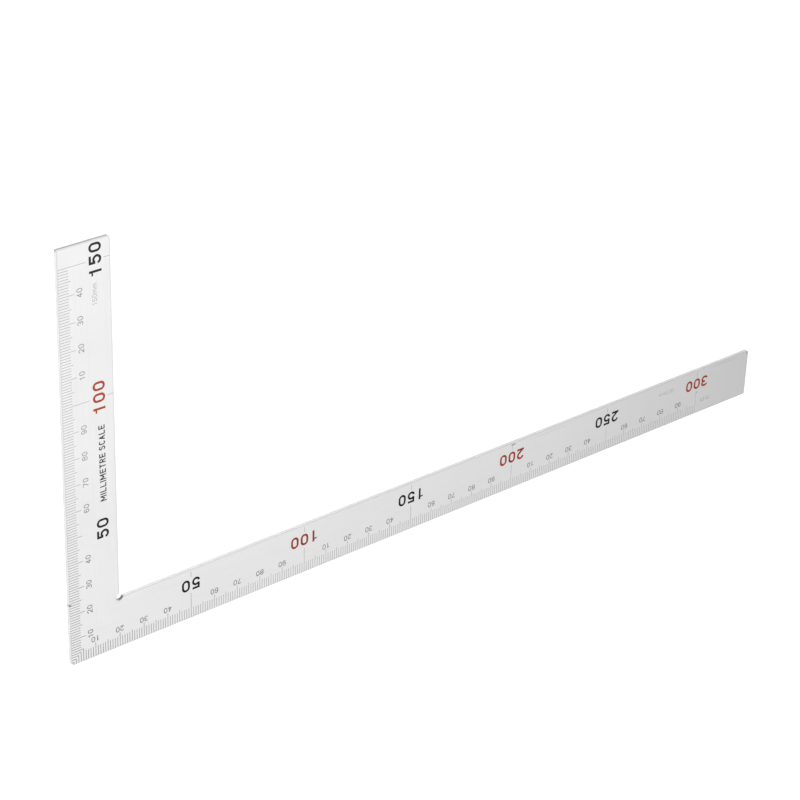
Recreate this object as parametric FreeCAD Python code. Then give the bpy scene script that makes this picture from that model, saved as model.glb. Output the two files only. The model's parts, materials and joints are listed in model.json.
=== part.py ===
import FreeCAD, Part
import math
import os
from collections import namedtuple

# Steel square: one flat L-shaped plate with a millimetre scale along the outer edge of each arm.
# Every line, numeral and letter is etched into the marked face and filled with enamel, and each
# group of marks with one colour and one purpose is a node of its own.
#
# Frame: the plate lies on its underside at z = 0 with the marked face up. The origin is the
# outer corner, where both scales start. The long arm runs along +X and the short arm along +Y.
# "Along" is a distance from the outer corner down an arm, and "across" is a distance from that
# arm's outer edge towards its inner edge.

# --- driving dimensions, mm ---

# plate
LONG_ARM_LENGTH = 329.0
SHORT_ARM_LENGTH = 157.0
ARM_WIDTH = 20.0
THICKNESS = 1.2
OUTER_CORNER_RADIUS = 1.25
TIP_OUTER_RADIUS = 0.3
TIP_INNER_RADIUS = 0.9
RELIEF_RADIUS = 1.45
RELIEF_OFFSET = 0.25

# etching and enamel
ETCH_DEPTH = 0.06
ENAMEL_SINK = 0.01

# graduations
PITCH = 1.0
LINE_WIDTH = 0.25
EDGE_GAP = 0.2
ONE_MM_LINE_END = 4.1
FIVE_MM_LINE_END = 4.9
LONGER_LINE_STEP = 5
NUMERAL_STEP = 10
MAIN_STEP = 50
COLOUR_STEP = 100
MIN_BLANK_TIP = 5.0

# small numerals, at each 10 mm
SMALL_HEIGHT = 2.15
SMALL_WIDTH = 1.45
SMALL_STROKE = 0.3
SMALL_GAP = 0.35

# main numerals, at each 50 mm
MAIN_HEIGHT = 4.75
MAIN_WIDTH = 3.4
MAIN_STROKE = 0.86
MAIN_GAP = 0.95
GAP_ABOVE_NUMERAL = 1.2
GAP_BELOW_NUMERAL = 0.8

# scale legend on the short arm
LEGEND_TEXT = "MILLIMETRE SCALE"
LEGEND_HEIGHT = 2.45
LEGEND_WIDTH = 1.5
LEGEND_STROKE = 0.41
LEGEND_GAP = 0.47
LEGEND_BASE_TO_INNER_EDGE = 3.9
LEGEND_STEPS_BACK = 1.5

# small size mark near each scale's end, and the unit mark beyond the long scale
SIZE_MARK_HEIGHT = 1.8
SIZE_MARK_WIDTH = 1.15
SIZE_MARK_STROKE = 0.22
SIZE_MARK_GAP = 0.3
UNIT_MARK_HEIGHT = 2.6
UNIT_MARK_WIDTH = 1.5
UNIT_MARK_STROKE = 0.3
UNIT_MARK_GAP = 1.0
UNIT_MARK_ALONG = 5.5
UNIT_MARK_BASE = 6.25

# What differs between the two arms. text_turn is the direction in which its text reads, in
# degrees from +X; the tops of all characters point to the arm's outer edge.
Arm = namedtuple(
    "Arm",
    "name length text_turn ten_mm_line_end small_below_line main_base_to_inner_edge"
    " first_full_line full_line_to_inner_edge size_mark_back size_mark_base_to_inner_edge",
)
LONG_ARM = Arm(
    name="long_arm",
    length=LONG_ARM_LENGTH,
    text_turn=180,
    ten_mm_line_end=5.7,
    small_below_line=0.35,
    main_base_to_inner_edge=3.9,
    first_full_line=50,
    full_line_to_inner_edge=1.0,
    size_mark_back=17.4,
    size_mark_base_to_inner_edge=4.0,
)
SHORT_ARM = Arm(
    name="short_arm",
    length=SHORT_ARM_LENGTH,
    text_turn=90,
    ten_mm_line_end=6.1,
    small_below_line=0.9,
    main_base_to_inner_edge=3.35,
    first_full_line=100,
    full_line_to_inner_edge=0.3,
    size_mark_back=12.2,
    size_mark_base_to_inner_edge=5.4,
)
ARMS = (LONG_ARM, SHORT_ARM)

# "m" and "M" take this share of the usual character's width, and a space this share
M_WIDTH_SHARE = 1.55
SPACE_WIDTH_SHARE = 0.6

# how far a pocket's cutter rises above the marked face
CUTTER_RISE = 0.2
# points closer than this are the same corner
SAME_POINT = 1e-6

# node name to enamel solids, and the solids that cut their pockets; etch() adds to both
enamel = {}
pocket_cutters = []

# --- flat outlines ---


def vector(x, y, z=0.0):
    return FreeCAD.Vector(x, y, z)


def point_on_circle(cx, cy, radius, angle):
    turn = math.radians(angle)
    return cx + radius * math.cos(turn), cy + radius * math.sin(turn)


def polygon(points):
    corners = [vector(x, y) for x, y in points]
    return Part.Face(Part.makePolygon(corners + corners[:1]))


def rectangle(x0, y0, x1, y1):
    return polygon([(x0, y0), (x1, y0), (x1, y1), (x0, y1)])


def joined(shapes):
    """One flat outline from overlapping or touching flat pieces."""
    if len(shapes) == 1:
        return shapes[0]
    return shapes[0].fuse(shapes[1:]).removeSplitter()


# --- pen strokes that characters are drawn with ---
# A character is drawn on the centre line of its stroke, in a cell of w by h measured between
# centre lines, so that its outline is wider and taller than the cell by one stroke.


def bar(x0, y0, x1, y1, stroke, start=0.0, end=0.0):
    """A straight stroke; start and end lengthen it past its two centre-line points."""
    length = math.hypot(x1 - x0, y1 - y0)
    along_x = (x1 - x0) / length
    along_y = (y1 - y0) / length
    half_x = -along_y * stroke / 2
    half_y = along_x * stroke / 2
    ax = x0 - along_x * start
    ay = y0 - along_y * start
    bx = x1 + along_x * end
    by = y1 + along_y * end
    return polygon(
        [
            (ax - half_x, ay - half_y),
            (bx - half_x, by - half_y),
            (bx + half_x, by + half_y),
            (ax + half_x, ay + half_y),
        ]
    )


def bend(cx, cy, radius, first, last, stroke):
    """A stroke along an arc, anticlockwise from first to last, in degrees."""
    angles = (first, (first + last) / 2, last)
    outer = [vector(*point_on_circle(cx, cy, radius + stroke / 2, angle)) for angle in angles]
    inner = [vector(*point_on_circle(cx, cy, radius - stroke / 2, angle)) for angle in angles]
    outline = [
        Part.Arc(*outer).toShape(),
        Part.LineSegment(outer[-1], inner[-1]).toShape(),
        Part.Arc(*reversed(inner)).toShape(),
        Part.LineSegment(inner[0], outer[0]).toShape(),
    ]
    return Part.Face(Part.Wire(outline))


def tangent_angle(cx, cy, radius):
    """Where a line from the cell's lower left corner touches a circle on its right side."""
    distance = math.hypot(cx, cy)
    towards = math.degrees(math.atan2(-cy, -cx))
    return towards + math.degrees(math.acos(radius / distance))


def bowl(w, low, high, s):
    """The right half of a round stroke between two heights, with flat runs that start at w/2."""
    r = (high - low) / 2
    x = max(w - r, w / 2)
    pieces = [bend(x, low + r, r, -90, 90, s)]
    if x > w / 2:
        pieces.append(bar(w / 2, high, x, high, s))
        pieces.append(bar(w / 2, low, x, low, s))
    return pieces


def hook(w, low, high, s, open_from, open_to):
    """The left half of a round stroke between two heights, kept only outside the opening."""
    r = (high - low) / 2
    x = min(r, w / 2)
    pieces = []
    if open_from > 90:
        pieces.append(bend(x, low + r, r, 90, open_from, s))
        if x < w / 2:
            pieces.append(bar(x, high, w / 2, high, s))
    if open_to < 270:
        pieces.append(bend(x, low + r, r, open_to, 270, s))
        if x < w / 2:
            pieces.append(bar(x, low, w / 2, low, s))
    return pieces


def ring(w, low, high, s):
    """A closed round stroke that fills the cell's width: two half circles and two sides."""
    r = w / 2
    pieces = [bend(r, high - r, r, 0, 180, s), bend(r, low + r, r, 180, 360, s)]
    if high - low > w:
        pieces.append(bar(0, low + r, 0, high - r, s))
        pieces.append(bar(w, low + r, w, high - r, s))
    return pieces


def digit_0(w, h, s):
    return ring(w, 0, h, s)


def digit_1(w, h, s):
    stem = 0.6 * w
    flag = 0.7 * s
    r = 0.2 * h
    return [
        bar(stem, 0, stem, h, s, start=s / 2, end=s / 2),
        bend(stem - r, h, r, -90, 0, flag),
        bar(0, h - r, stem - r, h - r, flag),
    ]


def digit_2(w, h, s):
    r = w / 2
    touch = tangent_angle(r, h - r, r)
    x, y = point_on_circle(r, h - r, r, touch)
    return [
        bend(r, h - r, r, touch, 168, s),
        bar(0, 0, x, y, s, start=s * 0.2),
        bar(0, 0, w, 0, s, start=s / 2, end=s / 2),
    ]


def digit_3(w, h, s):
    waist = 0.54 * h
    return (
        bowl(w, waist, h, s)
        + bowl(w, 0, waist, s)
        + hook(w, waist, h, s, 165, 270)
        + hook(w, 0, waist, s, 90, 195)
        + [bar(0.38 * w, waist, w / 2, waist, s)]
    )


def digit_4(w, h, s):
    stem = w * 0.72
    foot = 0.27 * h
    return [
        bar(stem, 0, stem, h, s, start=s / 2, end=s / 2),
        bar(0, foot, w, foot, s, start=s / 2, end=s / 2),
        bar(0, foot, stem, h, s),
    ]


def digit_5(w, h, s):
    r = w / 2
    shoulder = 148
    x, y = point_on_circle(r, r, r, shoulder)
    return [
        bend(r, r, r, -168, shoulder, s),
        bar(x, y, x, h, s, start=s * 0.1, end=s / 2),
        bar(x, h, w, h, s, start=s / 2, end=s * 0.3),
    ]


def digit_6(w, h, s):
    r = w / 2
    return ring(w, 0, max(0.6 * h, w), s) + [
        bar(0, r, 0, h - r, s),
        bend(r, h - r, r, 18, 180, s),
    ]


def digit_7(w, h, s):
    return [
        bar(0, h, w, h, s, start=s / 2, end=s / 2),
        bar(0.28 * w, 0, w, h, s, start=s / 2, end=s * 0.15),
    ]


def digit_8(w, h, s):
    waist = 0.53 * h
    r_low = waist / 2
    r_high = (h - waist) / 2
    pieces = bowl(w, 0, waist, s) + bowl(w, waist, h, s)
    pieces += [
        bend(r_low, r_low, r_low, 90, 270, s),
        bend(r_high, waist + r_high, r_high, 90, 270, s),
        bar(r_high, waist, w / 2, waist, s),
        bar(r_high, h, w / 2, h, s),
        bar(r_low, 0, w / 2, 0, s),
    ]
    return pieces


def turned(pieces, w, h):
    """Pieces turned half round about the middle of their cell."""
    return [piece.rotated(vector(w / 2, h / 2), vector(0, 0, 1), 180) for piece in pieces]


def digit_9(w, h, s):
    return turned(digit_6(w, h, s), w, h)


def letter_a(w, h, s):
    beam = 0.3 * h
    inset = w / 2 * beam / h
    return [
        bar(0, 0, w / 2, h, s, start=s / 2, end=s * 0.15),
        bar(w, 0, w / 2, h, s, start=s / 2, end=s * 0.15),
        bar(inset, beam, w - inset, beam, s),
    ]


def letter_c(w, h, s):
    r = w / 2
    return [
        bend(r, h - r, r, 20, 180, s),
        bar(0, r, 0, h - r, s),
        bend(r, r, r, 180, 340, s),
    ]


def letter_e(w, h, s):
    return letter_l(w, h, s) + [
        bar(0, h, w, h, s, start=s / 2, end=s / 2),
        bar(0, h * 0.52, w * 0.92, h * 0.52, s, end=s / 2),
    ]


def letter_i(w, h, s):
    return [bar(0, 0, 0, h, s, start=s / 2, end=s / 2)]


def letter_l(w, h, s):
    return [
        bar(0, 0, 0, h, s, start=s / 2, end=s / 2),
        bar(0, 0, w, 0, s, start=s / 2, end=s / 2),
    ]


def letter_m(w, h, s):
    return [
        bar(0, 0, 0, h, s, start=s / 2, end=s / 2),
        bar(w, 0, w, h, s, start=s / 2, end=s / 2),
        bar(0, h, w / 2, h * 0.25, s),
        bar(w, h, w / 2, h * 0.25, s),
    ]


def letter_r(w, h, s):
    r = h * 0.25
    return [
        bar(0, 0, 0, h, s, start=s / 2, end=s / 2),
        bar(0, h, w - r, h, s),
        bend(w - r, h - r, r, -90, 90, s),
        bar(0, h - 2 * r, w - r, h - 2 * r, s),
        bar(w * 0.45, h - 2 * r, w, 0, s, end=s / 2),
    ]


def letter_s(w, h, s):
    waist = 0.52 * h
    return (
        bowl(w, 0, waist, s)
        + hook(w, 0, waist, s, 90, 195)
        + turned(bowl(w, 0, h - waist, s) + hook(w, 0, h - waist, s, 90, 195), w, h)
    )


def letter_t(w, h, s):
    return [
        bar(w / 2, 0, w / 2, h, s, start=s / 2, end=s / 2),
        bar(0, h, w, h, s, start=s / 2, end=s / 2),
    ]


def small_letter_m(w, h, s):
    arch = w / 4
    top = 0.68 * h
    return [
        bar(0, 0, 0, top, s, start=s / 2, end=s / 2),
        bar(2 * arch, 0, 2 * arch, top - arch, s, start=s / 2),
        bar(w, 0, w, top - arch, s, start=s / 2),
        bend(arch, top - arch, arch, 0, 180, s),
        bend(3 * arch, top - arch, arch, 0, 180, s),
    ]


DRAWINGS = {
    "0": digit_0,
    "1": digit_1,
    "2": digit_2,
    "3": digit_3,
    "4": digit_4,
    "5": digit_5,
    "6": digit_6,
    "7": digit_7,
    "8": digit_8,
    "9": digit_9,
    "A": letter_a,
    "C": letter_c,
    "E": letter_e,
    "I": letter_i,
    "L": letter_l,
    "M": letter_m,
    "R": letter_r,
    "S": letter_s,
    "T": letter_t,
    "m": small_letter_m,
}

Style = namedtuple("Style", "height width stroke gap")
SMALL = Style(SMALL_HEIGHT, SMALL_WIDTH, SMALL_STROKE, SMALL_GAP)
MAIN = Style(MAIN_HEIGHT, MAIN_WIDTH, MAIN_STROKE, MAIN_GAP)
LEGEND = Style(LEGEND_HEIGHT, LEGEND_WIDTH, LEGEND_STROKE, LEGEND_GAP)
SIZE_MARK = Style(SIZE_MARK_HEIGHT, SIZE_MARK_WIDTH, SIZE_MARK_STROKE, SIZE_MARK_GAP)
UNIT_MARK = Style(UNIT_MARK_HEIGHT, UNIT_MARK_WIDTH, UNIT_MARK_STROKE, UNIT_MARK_GAP)
drawn = {}


def cell_width(character, style):
    """Centre-line width of a character's cell."""
    if character == "I":
        return 0.0
    if character in "mM":
        return (style.width - style.stroke) * M_WIDTH_SHARE
    return style.width - style.stroke


def character_face(character, style):
    """A character's flat outline, with its lower left corner at the origin."""
    if (character, style) not in drawn:
        w = cell_width(character, style)
        h = style.height - style.stroke
        outline = joined(DRAWINGS[character](w, h, style.stroke))
        outline.translate(vector(style.stroke / 2, style.stroke / 2))
        drawn[character, style] = outline
    return drawn[character, style].copy()


def text_faces(text, style):
    """Outlines of a line of text, centred on x = 0 with its baseline on y = 0."""
    faces = []
    x = 0.0
    for character in text:
        if character == " ":
            x += style.width * SPACE_WIDTH_SHARE
            continue
        face = character_face(character, style)
        face.translate(vector(x, 0))
        faces.append(face)
        x += cell_width(character, style) + style.stroke + style.gap
    middle = (x - style.gap) / 2
    for face in faces:
        face.translate(vector(-middle, 0))
    return faces


# --- marks on the plate ---


def etch(node, faces):
    """Add flat outlines to a node's enamel, and cut a pocket for each."""
    floor = vector(0, 0, THICKNESS - ETCH_DEPTH)
    for face in faces:
        face.translate(floor)
        enamel.setdefault(node, []).append(face.extrude(vector(0, 0, ETCH_DEPTH - ENAMEL_SINK)))
        pocket_cutters.append(face.extrude(vector(0, 0, ETCH_DEPTH + CUTTER_RISE)))


def on_arm(arm, along, across):
    """Plate position of a point on an arm."""
    if arm is LONG_ARM:
        return along, across
    return across, along


def line_face(arm, along, start, end):
    """A graduation: a thin rectangle at one distance along an arm."""
    x0, y0 = on_arm(arm, along - LINE_WIDTH / 2, start)
    x1, y1 = on_arm(arm, along + LINE_WIDTH / 2, end)
    return rectangle(min(x0, x1), min(y0, y1), max(x0, x1), max(y0, y1))


def placed_text(arm, text, style, along, base):
    """Text centred at one distance along an arm, its baseline at a distance across the arm."""
    faces = text_faces(text, style)
    x, y = on_arm(arm, along, base)
    for face in faces:
        face.rotate(vector(0, 0), vector(0, 0, 1), arm.text_turn)
        face.translate(vector(x, y))
    return faces


def scale_end(arm):
    """The last main graduation that leaves a blank tip."""
    return MAIN_STEP * int((arm.length - MIN_BLANK_TIP) / (MAIN_STEP * PITCH))


def corner_line_count():
    """How many lines from the corner would cross or touch the other arm's lines."""
    return int((FIVE_MM_LINE_END + LINE_WIDTH) / PITCH)


def is_full_line(arm, value):
    return value % MAIN_STEP == 0 and value >= arm.first_full_line


def etch_corner_lines():
    """The first lines of both scales meet on the corner's diagonal, so each pair is one L."""
    half = LINE_WIDTH / 2
    for count in range(1, corner_line_count() + 1):
        inner = count * PITCH - half
        outer = count * PITCH + half
        outline = [
            (EDGE_GAP, inner),
            (inner, inner),
            (inner, EDGE_GAP),
            (outer, EDGE_GAP),
            (outer, outer),
            (EDGE_GAP, outer),
        ]
        etch("corner_lines", [polygon(outline)])


def etch_short_lines(arm):
    """Lines at each 1, 5 and 10 mm, apart from the full lines."""
    for value in range(corner_line_count() + 1, scale_end(arm) + 1):
        if is_full_line(arm, value):
            continue
        if value % NUMERAL_STEP == 0:
            kind, end = "ten_mm_lines", arm.ten_mm_line_end
        elif value % LONGER_LINE_STEP == 0:
            kind, end = "five_mm_lines", FIVE_MM_LINE_END
        else:
            kind, end = "one_mm_lines", ONE_MM_LINE_END
        etch(f"{arm.name}_{kind}", [line_face(arm, value * PITCH, EDGE_GAP, end)])


def etch_full_lines(arm):
    """Lines across the arm, interrupted where their numeral stands."""
    base = ARM_WIDTH - arm.main_base_to_inner_edge
    upper_end = base - MAIN_HEIGHT - GAP_ABOVE_NUMERAL
    lower_start = base + GAP_BELOW_NUMERAL
    lower_end = ARM_WIDTH - arm.full_line_to_inner_edge
    for value in range(MAIN_STEP, scale_end(arm) + 1, MAIN_STEP):
        if is_full_line(arm, value):
            along = value * PITCH
            upper = line_face(arm, along, EDGE_GAP, upper_end)
            lower = line_face(arm, along, lower_start, lower_end)
            etch(f"{arm.name}_full_lines", [upper, lower])


def etch_small_numerals(arm):
    """10 to 90 between main numerals, starting again after each 100."""
    base = arm.ten_mm_line_end + arm.small_below_line + SMALL_HEIGHT
    for value in range(NUMERAL_STEP, scale_end(arm), NUMERAL_STEP):
        if value % MAIN_STEP:
            text = str(value % COLOUR_STEP)
            faces = placed_text(arm, text, SMALL, value * PITCH, base)
            etch(f"{arm.name}_small_numerals", faces)


def etch_main_numerals(arm):
    """50, 150 ... in black and 100, 200 ... in red."""
    base = ARM_WIDTH - arm.main_base_to_inner_edge
    for value in range(MAIN_STEP, scale_end(arm) + 1, MAIN_STEP):
        colour = "black" if value % COLOUR_STEP else "red"
        faces = placed_text(arm, str(value), MAIN, value * PITCH, base)
        etch(f"{arm.name}_{colour}_numerals", faces)


def etch_size_mark(arm):
    end = scale_end(arm)
    base = ARM_WIDTH - arm.size_mark_base_to_inner_edge
    along = end * PITCH - arm.size_mark_back
    etch(f"{arm.name}_size_mark", placed_text(arm, f"{end}mm", SIZE_MARK, along, base))


def etch_legend():
    along = (scale_end(SHORT_ARM) - LEGEND_STEPS_BACK * MAIN_STEP) * PITCH
    base = ARM_WIDTH - LEGEND_BASE_TO_INNER_EDGE
    etch("legend", placed_text(SHORT_ARM, LEGEND_TEXT, LEGEND, along, base))


def etch_unit_mark():
    along = scale_end(LONG_ARM) * PITCH + UNIT_MARK_ALONG
    etch("unit_mark", placed_text(LONG_ARM, "mm", UNIT_MARK, along, UNIT_MARK_BASE))


# --- the plate ---


def l_profile():
    """The plate's outline with sharp corners, anticlockwise from the outer corner."""
    return polygon(
        [
            (0, 0),
            (LONG_ARM_LENGTH, 0),
            (LONG_ARM_LENGTH, ARM_WIDTH),
            (ARM_WIDTH, ARM_WIDTH),
            (ARM_WIDTH, SHORT_ARM_LENGTH),
            (0, SHORT_ARM_LENGTH),
        ]
    )


def rounded(solid, x, y, radius):
    """Round the solid's upright edge at (x, y)."""
    edges = [
        edge
        for edge in solid.Edges
        if all(math.hypot(end.X - x, end.Y - y) < SAME_POINT for end in edge.Vertexes)
    ]
    return solid.makeFillet(radius, edges)


def plate_blank():
    """The L with its corners rounded and a relief bored in the inner corner."""
    blank = l_profile().extrude(vector(0, 0, THICKNESS))
    blank = rounded(blank, 0, 0, OUTER_CORNER_RADIUS)
    blank = rounded(blank, LONG_ARM_LENGTH, 0, TIP_OUTER_RADIUS)
    blank = rounded(blank, LONG_ARM_LENGTH, ARM_WIDTH, TIP_INNER_RADIUS)
    blank = rounded(blank, 0, SHORT_ARM_LENGTH, TIP_OUTER_RADIUS)
    blank = rounded(blank, ARM_WIDTH, SHORT_ARM_LENGTH, TIP_INNER_RADIUS)
    centre = ARM_WIDTH + RELIEF_OFFSET
    relief = Part.makeCylinder(RELIEF_RADIUS, THICKNESS, vector(centre, centre))
    return blank.cut(relief)


def build():
    """Every node's name and shape."""
    etch_corner_lines()
    for arm in ARMS:
        etch_short_lines(arm)
        etch_full_lines(arm)
        etch_small_numerals(arm)
        etch_main_numerals(arm)
        etch_size_mark(arm)
    etch_legend()
    etch_unit_mark()
    nodes = {"square_plate": plate_blank().cut(pocket_cutters)}
    for node, solids in enamel.items():
        nodes[node] = Part.makeCompound(solids)
    return nodes


os.makedirs("parts", exist_ok=True)
for name, shape in build().items():
    shape.exportStep(f"parts/{name}.step")
    print(f"{name}: {len(shape.Solids)} solids, {shape.Volume:.2f} mm3, valid {shape.isValid()}")
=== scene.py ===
import json
import math
from collections import namedtuple

import bpy
from mathutils import Matrix, Vector


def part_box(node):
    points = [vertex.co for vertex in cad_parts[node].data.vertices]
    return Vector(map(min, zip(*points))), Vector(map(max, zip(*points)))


# Looks of a steel square: an L-shaped plate of satin brushed steel, with scales etched into its
# marked face and filled with enamel. Everything is in metres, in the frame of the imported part:
# the plate lies on z = 0 with its marked face up, its outer corner at the origin, its long arm
# along +X and its short arm along +Y.

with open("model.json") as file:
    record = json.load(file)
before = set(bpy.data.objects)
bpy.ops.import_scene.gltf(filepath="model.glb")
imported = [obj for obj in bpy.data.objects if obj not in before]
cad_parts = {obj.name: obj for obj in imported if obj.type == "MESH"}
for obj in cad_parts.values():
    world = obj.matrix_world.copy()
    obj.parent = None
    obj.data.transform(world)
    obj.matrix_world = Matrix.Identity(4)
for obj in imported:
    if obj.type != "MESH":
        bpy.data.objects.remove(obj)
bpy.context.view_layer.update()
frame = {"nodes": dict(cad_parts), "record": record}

MM = 0.001

# --- the plate, as packed ---

plate_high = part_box("square_plate")[1]
LONG_ARM_LENGTH = plate_high.x
SHORT_ARM_LENGTH = plate_high.y
TOP = plate_high.z
# the lines across the long arm stop this far short of its inner edge
FULL_LINE_TO_INNER_EDGE = 1.0 * MM
ARM_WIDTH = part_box("long_arm_full_lines")[1].y + FULL_LINE_TO_INNER_EDGE

# --- camera ---

VIEW_POINT = Vector((142.9 * MM, 57.3 * MM, TOP))
VIEW_DISTANCE = 936.7 * MM
VIEW_HEADING = 130.4
VIEW_DIP = 41.97
VIEW_ROLL = 121.62
LENS = 116.3
SENSOR_WIDTH = 36.0
CLIP_START = 0.01
CLIP_END = 50.0

# --- floor and light ---

FLOOR_RADIUS = 4.0
COVE_RADIUS = 0.6
COVE_HEIGHT = 1.2
COVE_STEPS = 12
COVE_SEGMENTS = 96
FLOOR_COLOUR = (0.87, 0.87, 0.87, 1.0)
FLOOR_ROUGHNESS = 0.9
FLOOR_SPECULAR = 0.1
PAPER_GRAIN = 4 * MM
PAPER_LIGHTER = 1.02

# brightness of the studio's ceiling and walls by the sine of the elevation they are seen at
SKY = (
    (0.0, 0.28),
    (0.45, 0.28),
    (0.55, 0.46),
    (0.65, 0.88),
    (0.75, 1.44),
    (0.87, 1.33),
    (1.0, 0.85),
)
# a colour ramp is kept to 0..1, so brightness is divided by this and multiplied back
SKY_SCALE = 2.0

KEY_POWER = 32.0
KEY_SIZE = 1.6
KEY_PLACE = Vector((-0.9, 1.1, 1.5))

# most of a noise texture's values lie in this range
NOISE_RANGE = (0.3, 0.7)

# --- steel: colours, linear ---

STEEL_LIGHT = (0.84, 0.84, 0.838, 1.0)
STEEL_DARK = (0.80, 0.80, 0.798, 1.0)
STEEL_HANDLED = (0.62, 0.62, 0.62, 1.0)
# painted shade: the face darkens to this colour towards the long arm's tip
STEEL_PAINTED_SHADE = (0.745, 0.745, 0.743, 1.0)
EDGE_LIGHT = (0.87, 0.87, 0.87, 1.0)
EDGE_DARK = (0.80, 0.80, 0.80, 1.0)
# painted shade: the edges darken to this colour towards the long arm's tip
EDGE_PAINTED_SHADE = (0.70, 0.70, 0.70, 1.0)
TORN_END = (0.42, 0.42, 0.42, 1.0)
# painted shade: the dark line along the sharp edges
RIM_PAINTED_SHADE = (0.40, 0.40, 0.40, 1.0)
# colour of the stains, and of the painted shade in the relief
STAIN_AND_SHADE_COLOUR = (0.06, 0.06, 0.06, 1.0)
# painted shade, darker towards the long arm's tip for the dimmer reflection there: where along the
# long arm its face and its edges start to darken, and where they are darkest
FACE_SHADE_REACH = (225 * MM, 325 * MM)
EDGE_SHADE_REACH = (30 * MM, 300 * MM)
# painted shade for the dark reflection in rounded edges: the darker line along each sharp edge, and
# the part of its width that is fully dark
FACE_RIM_WIDTH = 0.5 * MM
SIDE_RIM_WIDTH = 0.3 * MM
RIM_CORE_SHARE = 0.3
RIM_DARKNESS = 0.35
# the end cuts are torn and dull in their lower part, and burnished above it
END_DEPTH = 0.5 * MM
END_SOFTNESS = 1.5
TORN_SHARE = 0.6
TORN_SOFTNESS = 1.3
# a surface is a side where its normal's height is below the middle of this range
SIDE_NORMAL_RANGE = (0.6, 0.4)

# --- steel: brush marks, handling and dirt ---

# length and width of the marks
COARSE_BRUSHING = (30 * MM, 0.45 * MM)
FINE_BRUSHING = (9 * MM, 0.12 * MM)
SHEAR_MARKS = (0.25 * MM, 2.0 * MM)
FINE_SHARE = 0.45
SHEAR_RANGE = (0.35, 0.65)
CLOUD_SIZE = 35 * MM
HANDLED_SIZE = 6 * MM
HANDLED_RANGE = (0.55, 0.8)
HANDLED_SHARE = 0.06
# roughness from the dullest to the shiniest brush mark, and what clouds add to it
BRUSH_ROUGHNESS = (0.38, 0.30)
CLOUD_ROUGHNESS = (-0.02, 0.03)
SIDE_ROUGHNESS = 0.5
# roughness under the stains and under the painted shade in the relief
STAIN_AND_SHADE_ROUGHNESS = 0.8
BRUSH_DEPTH = 0.004 * MM
BRUSH_STRENGTH = 0.5
STEEL_ANISOTROPY = 0.6
# painted shade in the relief, for the shadow and dark reflection in it: how far it reaches, and how
# strong it is on the face and on the wall
RELIEF_REACH = 2.0 * MM
RELIEF_CORE_SHARE = 0.8
RELIEF_FACE_SHADE = 0.05
RELIEF_WALL_SHADE = (0.15, 0.65)
WALL_SHADE_RANGE = (0.4, 0.6)

# stains and dirty nicks, which are colour only: on the short arm (1) or the long one (0), place
# and half sizes along and across the arm in mm, and how dark
Spot = namedtuple("Spot", "short along across half_length half_width darkness")
SPOTS = (
    Spot(short=1, along=24.3, across=0.3, half_length=0.45, half_width=0.7, darkness=0.7),
    Spot(short=0, along=200.5, across=19.1, half_length=1.6, half_width=0.4, darkness=0.6),
    Spot(short=0, along=300.2, across=9.7, half_length=0.5, half_width=0.5, darkness=0.5),
    Spot(short=0, along=328.4, across=19.0, half_length=0.6, half_width=0.8, darkness=0.4),
    Spot(short=0, along=220.0, across=18.5, half_length=15.0, half_width=0.3, darkness=0.10),
    Spot(short=0, along=316.0, across=18.7, half_length=10.0, half_width=0.6, darkness=0.10),
)
SPOT_CORE_SHARE = 0.4


# --- node helpers ---


class Nodes:
    """Adds shader nodes to one material or world."""

    def __init__(self, tree):
        self.tree = tree
        self.tree.nodes.clear()

    def add(self, kind, inputs=None, **settings):
        node = self.tree.nodes.new(kind)
        for name, value in settings.items():
            setattr(node, name, value)
        for name, value in (inputs or {}).items():
            self.feed(node.inputs[name], value)
        return node

    def feed(self, socket, value):
        if isinstance(value, bpy.types.NodeSocket):
            self.tree.links.new(value, socket)
        else:
            socket.default_value = value

    def maths(self, operation, a, b=0.0):
        return self.add("ShaderNodeMath", {0: a, 1: b}, operation=operation).outputs[0]

    def stretched(self, place, scale):
        node = self.add("ShaderNodeMapping", {"Vector": place, "Scale": scale})
        return node.outputs["Vector"]

    def noise(self, place, scale, detail=2.0, roughness=0.5):
        inputs = {"Vector": place, "Scale": scale, "Detail": detail, "Roughness": roughness}
        return self.add("ShaderNodeTexNoise", inputs).outputs["Fac"]

    def ramp(self, value, low, high, start=0.0, end=1.0):
        """Value mapped from low..high to start..end, and held there beyond."""
        inputs = {
            "Value": value,
            "From Min": low,
            "From Max": high,
            "To Min": start,
            "To Max": end,
        }
        return self.add("ShaderNodeMapRange", inputs).outputs["Result"]

    def distance(self, a, b):
        """Length of the hypotenuse over a and b."""
        squares = self.maths("ADD", self.maths("POWER", a, 2.0), self.maths("POWER", b, 2.0))
        return self.maths("SQRT", squares)

    def mix(self, share, a, b):
        """Colour from a to b. The Mix node has sockets of each kind, found by their number."""
        node = self.add("ShaderNodeMix", data_type="RGBA")
        self.feed(node.inputs["Factor"], share)
        self.feed(node.inputs[6], a)
        self.feed(node.inputs[7], b)
        return node.outputs[2]

    def mix_number(self, share, a, b):
        """The same for plain numbers."""
        node = self.add("ShaderNodeMix", data_type="FLOAT")
        self.feed(node.inputs["Factor"], share)
        self.feed(node.inputs[2], a)
        self.feed(node.inputs[3], b)
        return node.outputs[0]

    def bump(self, shader, height, depth, strength):
        """Relief on the shader's surface."""
        inputs = {"Height": height, "Distance": depth, "Strength": strength}
        self.feed(shader.inputs["Normal"], self.add("ShaderNodeBump", inputs).outputs["Normal"])


def new_material(name):
    """A material, its nodes and its shader."""
    material = bpy.data.materials.new(name)
    material.use_nodes = True
    nodes = Nodes(material.node_tree)
    output = nodes.add("ShaderNodeOutputMaterial")
    shader = nodes.add("ShaderNodeBsdfPrincipled")
    nodes.tree.links.new(shader.outputs["BSDF"], output.inputs["Surface"])
    return material, nodes, shader


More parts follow.
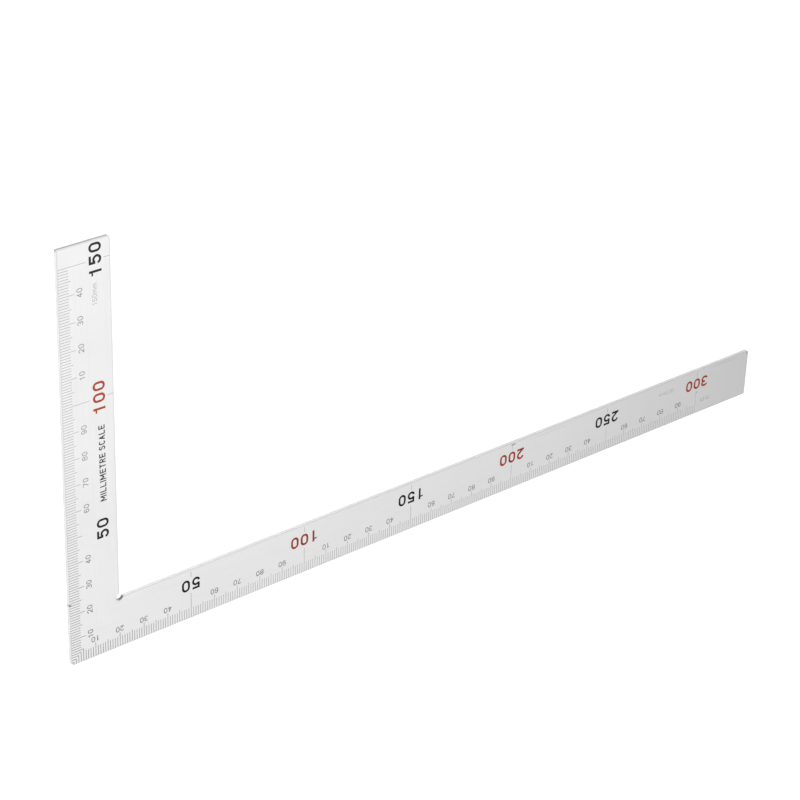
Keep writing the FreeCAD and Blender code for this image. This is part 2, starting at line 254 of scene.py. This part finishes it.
ArmPlace = namedtuple("ArmPlace", "short along across height length vector")


def object_place(nodes):
    """Coordinates in metres, in the frame of the part."""
    return nodes.add("ShaderNodeTexCoord").outputs["Object"]


def arm_place(nodes):
    """Which arm a point is on, parted at the corner's diagonal, and its place along and across it."""
    x, y, z = nodes.add("ShaderNodeSeparateXYZ", {0: object_place(nodes)}).outputs
    short = nodes.maths("GREATER_THAN", y, x)
    along = nodes.mix_number(short, x, y)
    across = nodes.mix_number(short, y, x)
    length = nodes.mix_number(short, LONG_ARM_LENGTH, SHORT_ARM_LENGTH)
    vector = nodes.add("ShaderNodeCombineXYZ", {0: along, 1: across, 2: z}).outputs["Vector"]
    return ArmPlace(short, along, across, z, length, vector)


# --- materials ---


def streaks(nodes, vector, size):
    """Marks that run down the arm: noise stretched to a mark's length and width."""
    length, width = size
    scale = (1 / length, 1 / width, 1 / width)
    return nodes.noise(nodes.stretched(vector, scale), 1.0, detail=3.0, roughness=0.6)


def rim_ramp(nodes, from_edge, width):
    """RIM_DARKNESS at the edge, and none at width from it."""
    return nodes.ramp(from_edge, RIM_CORE_SHARE * width, width, RIM_DARKNESS, 0.0)


def outline_painted_shade(nodes, place, is_side):
    """How much painted shade darkens the plate's sharp edges, on its faces and on its sides, for the
    dark reflection in rounded edges.
    """
    to_inner = nodes.maths("ABSOLUTE", nodes.maths("SUBTRACT", ARM_WIDTH, place.across))
    to_tip = nodes.maths("SUBTRACT", place.length, place.along)
    on_face = nodes.maths("MINIMUM", nodes.maths("MINIMUM", place.across, to_inner), to_tip)
    on_side = nodes.maths("MINIMUM", place.height, nodes.maths("SUBTRACT", TOP, place.height))
    face_rim = rim_ramp(nodes, on_face, FACE_RIM_WIDTH)
    side_rim = rim_ramp(nodes, on_side, SIDE_RIM_WIDTH)
    return nodes.mix_number(is_side, face_rim, side_rim)


# painted shade: darker towards the long arm's tip, for the dimmer reflection there
def long_arm_painted_shade(nodes, place, reach):
    """0 to 1 along the long arm, and 0 on the short one."""
    start, end = reach
    long = nodes.maths("SUBTRACT", 1.0, place.short)
    return nodes.maths("MULTIPLY", nodes.ramp(place.along, start, end), long)


def spot_mask(nodes, place, spot):
    """One oval stain or dirty nick, in colour only."""
    down = nodes.maths("SUBTRACT", place.along, spot.along * MM)
    over = nodes.maths("SUBTRACT", place.across, spot.across * MM)
    down = nodes.maths("DIVIDE", down, spot.half_length * MM)
    over = nodes.maths("DIVIDE", over, spot.half_width * MM)
    oval = nodes.ramp(nodes.distance(down, over), SPOT_CORE_SHARE, 1.0, spot.darkness, 0.0)
    this_arm = nodes.maths("COMPARE", place.short, spot.short)
    return nodes.maths("MULTIPLY", oval, this_arm)


def relief_painted_shade(nodes, place):
    """Painted shade in and around the relief in the inner corner, for its shadow and dark reflection.
    """
    down = nodes.maths("SUBTRACT", place.along, ARM_WIDTH)
    over = nodes.maths("SUBTRACT", place.across, ARM_WIDTH)
    from_corner = nodes.distance(down, over)
    return nodes.ramp(from_corner, RELIEF_CORE_SHARE * RELIEF_REACH, RELIEF_REACH, 1.0, 0.0)


def steel_material():
    """Satin steel, brushed lengthwise on each arm, with ground edges and sheared ends."""
    material, nodes, shader = new_material("brushed_steel")
    place = arm_place(nodes)
    normal = nodes.add("ShaderNodeNewGeometry").outputs["Normal"]
    normal_z = nodes.add("ShaderNodeSeparateXYZ", {0: normal}).outputs[2]
    is_side = nodes.ramp(nodes.maths("ABSOLUTE", normal_z), *SIDE_NORMAL_RANGE)

    coarse = streaks(nodes, place.vector, COARSE_BRUSHING)
    fine = streaks(nodes, place.vector, FINE_BRUSHING)
    grain = nodes.mix_number(FINE_SHARE, coarse, fine)
    clouds = nodes.noise(place.vector, 1 / CLOUD_SIZE)
    handled = nodes.noise(place.vector, 1 / HANDLED_SIZE, detail=4.0)
    shear = streaks(nodes, place.vector, SHEAR_MARKS)

    face = nodes.mix(nodes.ramp(grain, *NOISE_RANGE), STEEL_DARK, STEEL_LIGHT)
    dulled = nodes.ramp(handled, *HANDLED_RANGE, 0.0, HANDLED_SHARE)
    face = nodes.mix(dulled, face, STEEL_HANDLED)
    # painted shade towards the long arm's tip, on the face here and on the edges below
    face = nodes.mix(long_arm_painted_shade(nodes, place, FACE_SHADE_REACH), face, STEEL_PAINTED_SHADE)
    side = nodes.mix(nodes.ramp(shear, *SHEAR_RANGE), EDGE_DARK, EDGE_LIGHT)
    side = nodes.mix(long_arm_painted_shade(nodes, place, EDGE_SHADE_REACH), side, EDGE_PAINTED_SHADE)
    to_tip = nodes.maths("SUBTRACT", place.length, place.along)
    is_end = nodes.ramp(to_tip, END_DEPTH, END_SOFTNESS * END_DEPTH, 1.0, 0.0)
    torn_height = TORN_SHARE * TOP
    is_torn = nodes.ramp(place.height, torn_height, TORN_SOFTNESS * torn_height, 1.0, 0.0)
    side = nodes.mix(nodes.maths("MULTIPLY", is_end, is_torn), side, TORN_END)
    colour = nodes.mix(is_side, face, side)
    # painted shade along the sharp edges, for the dark reflection in rounded edges
    colour = nodes.mix(outline_painted_shade(nodes, place, is_side), colour, RIM_PAINTED_SHADE)

    # painted shade in the relief, patchy on its wall and faint on the face near it
    wall_shade = nodes.ramp(handled, *WALL_SHADE_RANGE, *RELIEF_WALL_SHADE)
    relief_shade_strength = nodes.mix_number(is_side, RELIEF_FACE_SHADE, wall_shade)
    stains_and_shade = nodes.maths("MULTIPLY", relief_painted_shade(nodes, place), relief_shade_strength)
    # the real stains of SPOTS join the painted shade
    for spot in SPOTS:
        stains_and_shade = nodes.maths("MAXIMUM", stains_and_shade, spot_mask(nodes, place, spot))
    nodes.feed(shader.inputs["Base Color"], nodes.mix(stains_and_shade, colour, STAIN_AND_SHADE_COLOUR))

    face_roughness = nodes.maths(
        "ADD",
        nodes.ramp(grain, *NOISE_RANGE, *BRUSH_ROUGHNESS),
        nodes.ramp(clouds, *NOISE_RANGE, *CLOUD_ROUGHNESS),
    )
    roughness = nodes.mix_number(is_side, face_roughness, SIDE_ROUGHNESS)
    nodes.feed(shader.inputs["Roughness"], nodes.mix_number(stains_and_shade, roughness, STAIN_AND_SHADE_ROUGHNESS))

    height = nodes.mix_number(is_side, grain, shear)
    nodes.bump(shader, height, BRUSH_DEPTH, BRUSH_STRENGTH)
    shader.inputs["Metallic"].default_value = 1.0
    shader.inputs["Anisotropic"].default_value = STEEL_ANISOTROPY
    # highlights stretch across the brush marks
    long = nodes.maths("SUBTRACT", 1.0, place.short)
    across = nodes.add("ShaderNodeCombineXYZ", {0: place.short, 1: long})
    nodes.feed(shader.inputs["Tangent"], across.outputs["Vector"])
    return material


# An enamel's colour, the colour of its worn patches and how much of it is worn, how much of
# FADED is mixed into it far down the long and the short arm, and how bright it is on the long arm
# against the short one.
Enamel = namedtuple("Enamel", "colour worn_colour wear long_fade short_fade long_value")
ENAMELS = {
    "line_enamel": Enamel((0.20, 0.20, 0.20), (0.28, 0.28, 0.28), 0.0, 0.33, 0.42, 1.0),
    "grey_enamel": Enamel((0.11, 0.11, 0.115), (0.30, 0.30, 0.30), 0.06, 0.05, 0.25, 1.0),
    "black_enamel": Enamel((0.004, 0.004, 0.004), (0.02, 0.02, 0.02), 0.02, 0.0, 0.03, 1.0),
    "red_enamel": Enamel((0.31, 0.034, 0.008), (0.22, 0.03, 0.010), 0.04, 0.0, 0.03, 0.75),
    "faint_enamel": Enamel((0.32, 0.32, 0.32), (0.46, 0.46, 0.46), 0.08, 0.0, 0.15, 1.0),
}
FADED = (0.66, 0.66, 0.66, 1.0)
FADE_START = 10 * MM
FADE_END = 70 * MM
PATCH_SIZE = 1.6 * MM
SPECK_SIZE = 0.18 * MM
SPECK_DEPTH = 0.006 * MM
SPECK_STRENGTH = 0.6
TONE_RANGE = (0.88, 1.12)
# paint is worn where patches times specks reach this range, lowered by the enamel's wear
WORN_RANGE = (0.42, 0.52)
ENAMEL_ROUGHNESS = (0.5, 0.62)
ENAMEL_SPECULAR = 0.12


def enamel_material(name, enamel):
    """Matt paint in the etched recesses, uneven in tone and thin in places."""
    material, nodes, shader = new_material(name)
    place = arm_place(nodes)
    patches = nodes.noise(place.vector, 1 / PATCH_SIZE, detail=3.0, roughness=0.6)
    specks = nodes.noise(place.vector, 1 / SPECK_SIZE)
    both = nodes.maths("MULTIPLY", patches, specks)
    gone = nodes.ramp(both, *(limit - enamel.wear for limit in WORN_RANGE))
    tone = nodes.ramp(patches, *NOISE_RANGE, *TONE_RANGE)
    value = nodes.maths("MULTIPLY", tone, nodes.mix_number(place.short, enamel.long_value, 1.0))
    varied = nodes.add(
        "ShaderNodeHueSaturation", {"Color": (*enamel.colour, 1.0), "Value": value}
    ).outputs["Color"]
    colour = nodes.mix(gone, varied, (*enamel.worn_colour, 1.0))
    fade = nodes.mix_number(place.short, enamel.long_fade, enamel.short_fade)
    faded = nodes.maths("MULTIPLY", nodes.ramp(place.along, FADE_START, FADE_END), fade)
    colour = nodes.mix(faded, colour, FADED)
    nodes.feed(shader.inputs["Base Color"], colour)
    roughness = nodes.ramp(specks, *NOISE_RANGE, *ENAMEL_ROUGHNESS)
    nodes.feed(shader.inputs["Roughness"], roughness)
    nodes.bump(shader, specks, SPECK_DEPTH, SPECK_STRENGTH)
    shader.inputs["Specular IOR Level"].default_value = ENAMEL_SPECULAR
    return material


def floor_material():
    """Matt paper with a faint grain."""
    material, nodes, shader = new_material("studio_floor")
    place = object_place(nodes)
    paper = nodes.noise(place, 1 / PAPER_GRAIN, detail=3.0)
    lighter = tuple(min(1.0, part * PAPER_LIGHTER) for part in FLOOR_COLOUR[:3]) + (1.0,)
    nodes.feed(shader.inputs["Base Color"], nodes.mix(paper, FLOOR_COLOUR, lighter))
    shader.inputs["Roughness"].default_value = FLOOR_ROUGHNESS
    shader.inputs["Specular IOR Level"].default_value = FLOOR_SPECULAR
    return material


def paint_nodes():
    """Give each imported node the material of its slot."""
    materials = {name: enamel_material(name, enamel) for name, enamel in ENAMELS.items()}
    materials["steel"] = steel_material()
    slot_of = {part["node"]: part["material_slot"] for part in frame["record"]["subparts"]}
    for name, node in frame["nodes"].items():
        slot = slot_of[name]
        node.data.materials.clear()
        node.data.materials.append(materials[slot])


# --- studio ---


def studio_floor():
    """A round pale floor that curves up into a low wall far behind the part."""
    profile = [(0.0, 0.0), (FLOOR_RADIUS, 0.0)]
    for step in range(1, COVE_STEPS + 1):
        turn = math.pi / 2 * step / COVE_STEPS
        out = FLOOR_RADIUS + COVE_RADIUS * math.sin(turn)
        up = COVE_RADIUS * (1 - math.cos(turn))
        profile.append((out, up))
    profile.append((FLOOR_RADIUS + COVE_RADIUS, COVE_HEIGHT))

    points = [(0.0, 0.0, 0.0)]
    for out, up in profile[1:]:
        for segment in range(COVE_SEGMENTS):
            turn = 2 * math.pi * segment / COVE_SEGMENTS
            points.append((out * math.cos(turn), out * math.sin(turn), up))

    faces = []
    for segment in range(COVE_SEGMENTS):
        following = (segment + 1) % COVE_SEGMENTS
        faces.append((0, 1 + segment, 1 + following))
        for ring in range(len(profile) - 2):
            inner = 1 + ring * COVE_SEGMENTS
            outer = inner + COVE_SEGMENTS
            faces.append((inner + segment, outer + segment, outer + following, inner + following))
    mesh = bpy.data.meshes.new("studio_floor")
    mesh.from_pydata(points, [], faces)
    mesh.shade_smooth()
    mesh.materials.append(floor_material())
    floor = bpy.data.objects.new("studio_floor", mesh)
    bpy.context.scene.collection.objects.link(floor)


def studio_light():
    """A sky, brightest at about 50 degrees up, and one large soft lamp."""
    world = bpy.data.worlds.new("studio")
    world.use_nodes = True
    bpy.context.scene.world = world
    nodes = Nodes(world.node_tree)
    direction = nodes.add("ShaderNodeTexCoord").outputs["Generated"]
    height = nodes.add("ShaderNodeSeparateXYZ", {0: direction}).outputs[2]
    curve = nodes.add("ShaderNodeValToRGB", {"Fac": height})
    stops = curve.color_ramp.elements
    while len(stops) < len(SKY):
        stops.new(1.0)
    for stop, (sine, brightness) in zip(stops, SKY):
        stop.position = sine
        share = brightness / SKY_SCALE
        stop.color = (share, share, share, 1.0)
    strength = nodes.maths("MULTIPLY", curve.outputs["Color"], SKY_SCALE)
    sky = nodes.add("ShaderNodeBackground", {"Strength": strength})
    sky.inputs["Color"].default_value = (1.0, 1.0, 1.0, 1.0)
    output = nodes.add("ShaderNodeOutputWorld")
    nodes.tree.links.new(sky.outputs["Background"], output.inputs["Surface"])

    lamp = bpy.data.lights.new("key", "AREA")
    lamp.shape = "DISK"
    lamp.size = KEY_SIZE
    lamp.energy = KEY_POWER
    key = bpy.data.objects.new("key", lamp)
    key.location = KEY_PLACE
    key.rotation_euler = (VIEW_POINT - KEY_PLACE).to_track_quat("-Z", "Y").to_euler()
    # it lights the floor but doesn't show in the steel
    key.visible_glossy = False
    bpy.context.scene.collection.objects.link(key)


def camera():
    """Aimed at VIEW_POINT from VIEW_DISTANCE, and rolled."""
    heading = math.radians(VIEW_HEADING)
    dip = math.radians(VIEW_DIP)
    forward = Vector(
        (math.sin(heading) * math.cos(dip), math.cos(heading) * math.cos(dip), -math.sin(dip))
    )
    level = forward.to_track_quat("-Z", "Y").to_matrix()
    rolled = level @ Matrix.Rotation(math.radians(VIEW_ROLL), 3, "Z")
    lens = bpy.data.cameras.new("camera")
    lens.lens = LENS
    lens.sensor_width = SENSOR_WIDTH
    lens.clip_start = CLIP_START
    lens.clip_end = CLIP_END
    seen_from = bpy.data.objects.new("camera", lens)
    seen_from.location = VIEW_POINT - forward * VIEW_DISTANCE
    seen_from.rotation_euler = rolled.to_euler()
    bpy.context.scene.collection.objects.link(seen_from)
    bpy.context.scene.camera = seen_from


paint_nodes()
studio_floor()
studio_light()
camera()
bpy.context.scene.view_settings.view_transform = "Standard"
